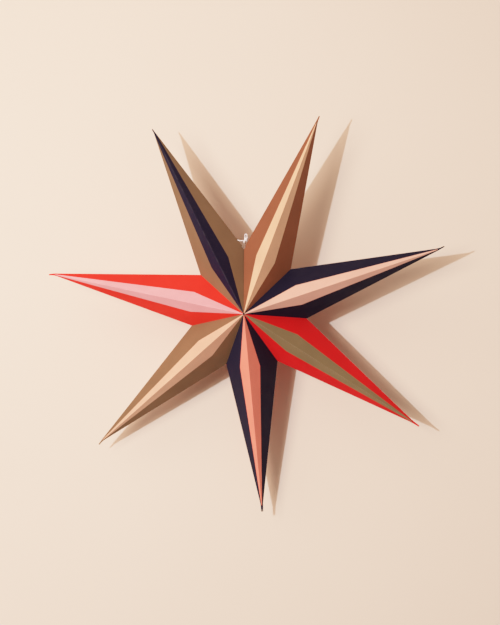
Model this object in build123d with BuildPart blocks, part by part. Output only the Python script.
"""Seven-pointed star lantern of folded card, hung by a string tied through its open seam.

Millimetres and degrees. The star stands in the XZ plane with +Z up through the tied seam,
its front faces -Y, and the origin is the star's middle.
Each point is one sheet: four panels folded round, lapped along one edge and open towards the middle.
"""

import math
import os

from build123d import *

# The star's outline and depth
TIP_RADIUS = 305.0  # middle of the star to where the folds of a point meet
VALLEY_RADIUS = 88.3  # middle to the inner corner between two glued points
SEAM_RADIUS = 93.0  # the same at the seam, which is only tied
HALF_DEPTH = 80.0  # middle to the front or the back apex
SEAM_PITCH = 48.0  # angle between the two points beside the seam
SEAM_OPENING = 0.3  # angle of the slit that the tied seam leaves
SEAM_ANGLE = 90.0  # the seam is at the top

# The card and how a point is made from it
PAPER = 0.4
APEX_RELIEF = 1.5  # radius of the small hole where the points meet
TAB_WIDTH = 10.0  # glue tab along the open edges of a point
TAB_END_RADIUS = 7.0  # tabs stop this far from the star's axis
LAP_WIDTH = 8.0  # glued lap that closes the sheet along one outline edge
LAP_START = 5.0  # lap's distance from the inner corner
LAP_STOP = 26.0  # lap's distance from the tip
NIB_START = 12.0  # the pinched end of a tip begins this far inside the tip
NIB_BARE = 6.0  # the folds stop this far inside the tip, and the nib goes on alone
NIB_LENGTH = 11.5
NIB_WIDTH = 1.7
NIB_THICKNESS = 1.1
NIB_TAPER = 2.0

# The tied string, its holes in the seam's tabs and the notch that the lamp's lead leaves by
STRING_DIAMETER = 1.4
STRING_CLEARANCE = 0.5
STRING_SEAT = 0.25  # gap above the string where it carries the seam's tabs
NOTCH_RADIUS = 2.6
KNOT_RADIUS = 3.2
KNOT_PLACE = (3.6, -0.9, 11.8)  # from the seam's corner
BEND_SHARE = 0.45  # share of a run that the bend beside it takes up

# Each point in turn, clockwise from the seam, and how far its nib is bent aside
NIB_BENDS = {
    "upper_right_point": -3.0,
    "right_point": 5.0,
    "lower_right_point": 0.0,
    "bottom_point": -5.0,
    "lower_left_point": 6.0,
    "left_point": 10.0,
    "upper_left_point": 3.0,
}

point_count = len(NIB_BENDS)
pitch = (360.0 - SEAM_PITCH) / (point_count - 1)
first_tip = SEAM_ANGLE - SEAM_PITCH / 2


def spot(radius, angle, depth=0.0):
    """A place from its radius and angle in the star's face and its depth behind the middle."""
    turn = math.radians(angle)
    return Vector(radius * math.cos(turn), depth, radius * math.sin(turn))


def flat(place):
    """A place as a pair in the star's face."""
    return (place.X, place.Z)


def panel_plane(apex, tip, corner, inset=0.0):
    """The plane of one panel, facing out of the star and moved inwards by inset."""
    normal = (tip - apex).cross(corner - apex).normalized()
    outwards = normal if normal.dot(apex) > 0 else -normal
    return Plane(origin=apex - outwards * inset, x_dir=tip - apex, z_dir=outwards)


def cut_to_panels(tip, corners, inset=0.0):
    """Cuts what is being built down to the inside of a point's four panels."""
    for apex in (front_apex, back_apex):
        for corner in corners:
            split(bisect_by=panel_plane(apex, tip, corner, inset), keep=Keep.BOTTOM)


def tab_outline(corner_radius):
    """A chevron along an open edge, from apex to corner to apex, as radius and depth."""
    fold = math.atan2(HALF_DEPTH, corner_radius)
    inner_radius = corner_radius - TAB_WIDTH / math.sin(fold)
    inner_depth = HALF_DEPTH - TAB_WIDTH / math.cos(fold)
    outer_end = HALF_DEPTH * (1 - TAB_END_RADIUS / corner_radius)
    inner_end = inner_depth * (1 - TAB_END_RADIUS / inner_radius)
    return [
        (TAB_END_RADIUS, -outer_end),
        (corner_radius, 0),
        (TAB_END_RADIUS, outer_end),
        (TAB_END_RADIUS, inner_end),
        (inner_radius, 0),
        (TAB_END_RADIUS, -inner_end),
    ]


def bend_radii(route):
    """The largest radius that the two runs beside each corner of a route allow."""
    radii = []
    for before, here, after in zip(route, route[1:], route[2:]):
        turn = (here - before).get_angle(after - here)
        shorter = min((here - before).length, (after - here).length)
        radii.append(BEND_SHARE * shorter / math.tan(math.radians(turn / 2)))
    return radii


front_apex = Vector(0, -HALF_DEPTH, 0)
back_apex = Vector(0, HALF_DEPTH, 0)
seam_fold = math.atan2(HALF_DEPTH, SEAM_RADIUS)
string_hole_radius = STRING_DIAMETER / 2 + STRING_CLEARANCE
string_hole_at = SEAM_RADIUS - TAB_WIDTH / math.sin(seam_fold) / 2

os.makedirs("parts", exist_ok=True)

# The seven points
for index, (name, nib_bend) in enumerate(NIB_BENDS.items()):
    tip_angle = first_tip - index * pitch
    starts_at_seam = index == 0
    ends_at_seam = index == point_count - 1
    left_angle = SEAM_ANGLE - SEAM_OPENING / 2 if starts_at_seam else tip_angle + pitch / 2
    right_angle = SEAM_ANGLE - 360 + SEAM_OPENING / 2 if ends_at_seam else tip_angle - pitch / 2
    left_radius = SEAM_RADIUS if starts_at_seam else VALLEY_RADIUS
    right_radius = SEAM_RADIUS if ends_at_seam else VALLEY_RADIUS
    tip = spot(TIP_RADIUS, tip_angle)
    left_corner = spot(left_radius, left_angle)
    right_corner = spot(right_radius, right_angle)
    corners = (left_corner, right_corner)

    with BuildPart() as hollow:
        with BuildSketch(Plane.XZ):
            Circle(TIP_RADIUS)
        extrude(amount=HALF_DEPTH, both=True)
        cut_to_panels(tip, corners, inset=PAPER)

    with BuildPart() as point:
        # Four panels: the outline as a block, cut along the panels and emptied
        with BuildSketch(Plane.XZ):
            with BuildLine():
                Polyline((0, 0), flat(right_corner), flat(tip), flat(left_corner), close=True)
            make_face()
        extrude(amount=HALF_DEPTH, both=True)
        cut_to_panels(tip, corners)
        add(hollow.part, mode=Mode.SUBTRACT)

        # Glue tabs, folded in along both open edges
        for angle, corner_radius, side, is_tied in (
            (left_angle, left_radius, -1, starts_at_seam),
            (right_angle, right_radius, 1, ends_at_seam),
        ):
            into_point = spot(1, angle + side * 90)
            tab_plane = Plane(origin=(0, 0, 0), x_dir=spot(1, angle), z_dir=into_point)
            with BuildSketch(tab_plane):
                Polygon(*tab_outline(corner_radius), align=None)
            extrude(amount=PAPER)
            if is_tied:
                with BuildSketch(tab_plane):
                    with Locations((string_hole_at, 0)):
                        Circle(string_hole_radius)
                extrude(amount=PAPER, mode=Mode.SUBTRACT)

        # Lap under the front panel, where the sheet is glued to itself
        front = panel_plane(front_apex, tip, left_corner)
        edge = tip - left_corner
        under_front = left_corner - front.z_dir * PAPER
        lap_plane = Plane(origin=under_front, x_dir=edge, z_dir=-front.z_dir)
        lap_end = edge.length - LAP_STOP
        with BuildSketch(lap_plane):
            with BuildLine():
                Polyline(
                    (LAP_START, 0),
                    (lap_end, 0),
                    (lap_end - LAP_WIDTH, LAP_WIDTH),
                    (LAP_START + LAP_WIDTH, LAP_WIDTH),
                    close=True,
                )
            make_face()
        extrude(amount=PAPER)

        # Nib: the end of the tip, pinched flat and bent
        nib_root = Plane(origin=spot(TIP_RADIUS - NIB_BARE, tip_angle), z_dir=spot(1, tip_angle))
        split(bisect_by=nib_root, keep=Keep.BOTTOM)
        nib_plane = Plane(
            origin=spot(TIP_RADIUS - NIB_START, tip_angle),
            x_dir=(0, 1, 0),
            z_dir=spot(1, tip_angle + nib_bend),
        )
        with BuildSketch(nib_plane):
            Rectangle(NIB_THICKNESS, NIB_WIDTH)
        extrude(amount=NIB_LENGTH, taper=NIB_TAPER)

        # Relief at the apexes, and the notch at the seam's corner
        Cylinder(APEX_RELIEF, 2 * HALF_DEPTH, rotation=(90, 0, 0), mode=Mode.SUBTRACT)
        if starts_at_seam or ends_at_seam:
            with Locations((0, 0, SEAM_RADIUS)):
                Cylinder(NOTCH_RADIUS, 2 * NOTCH_RADIUS, rotation=(0, 90, 0), mode=Mode.SUBTRACT)

    point.part.label = name
    export_step(point.part, f"parts/{name}.step")

# The string: a short tail, down through the seam's tabs, up again and over into the hanging loop
seat_drop = string_hole_at + STRING_CLEARANCE - STRING_SEAT - SEAM_RADIUS
string_route = [
    Vector(across, depth, SEAM_RADIUS + rise)
    for across, depth, rise in (
        (-8.3, -2.6, 12.1),
        (-6.4, -2.6, 10.6),
        (-2.4, -2.4, 10.4),
        (1.8, -2.0, 10.2),
        (1.1, -0.4, 4.4),
        (1.45, 0.0, -1.5),
        (1.6, 0.0, seat_drop),
        (-1.6, 0.0, seat_drop),
        (-1.45, 0.0, -1.5),
        (-1.2, 0.6, 4.4),
        (1.0, 0.6, 9.8),
        (2.6, 0.1, 13.8),
        (2.6, -0.3, 19.7),
        (5.8, -0.3, 19.7),
        (5.8, -0.4, 14.2),
        (4.6, -1.0, 11.2),
    )
]
string_bends = bend_radii(string_route)

with BuildPart() as tie_string:
    with BuildLine() as string_line:
        FilletPolyline(*string_route, radius=string_bends)
    with BuildSketch(Plane(origin=string_line.line @ 0, z_dir=string_line.line % 0)):
        Circle(STRING_DIAMETER / 2)
    sweep()
tie_string.part.label = "tie_string"
export_step(tie_string.part, "parts/tie_string.step")

# The knot, with the string's runs through it
with BuildPart() as tie_knot:
    with Locations(Vector(0, 0, SEAM_RADIUS) + Vector(*KNOT_PLACE)):
        Sphere(KNOT_RADIUS)
    add(tie_string.part, mode=Mode.SUBTRACT)
tie_knot.part.label = "tie_knot"
export_step(tie_knot.part, "parts/tie_knot.step")

string_length = string_line.wires()[0].length
string_section = math.pi * STRING_DIAMETER**2 / 4
print("string length", round(string_length, 1))
print("string bends", [round(radius, 1) for radius in string_bends])
string_fill = tie_string.part.volume / (string_section * string_length)
print("string volume over section times length", round(string_fill, 4))
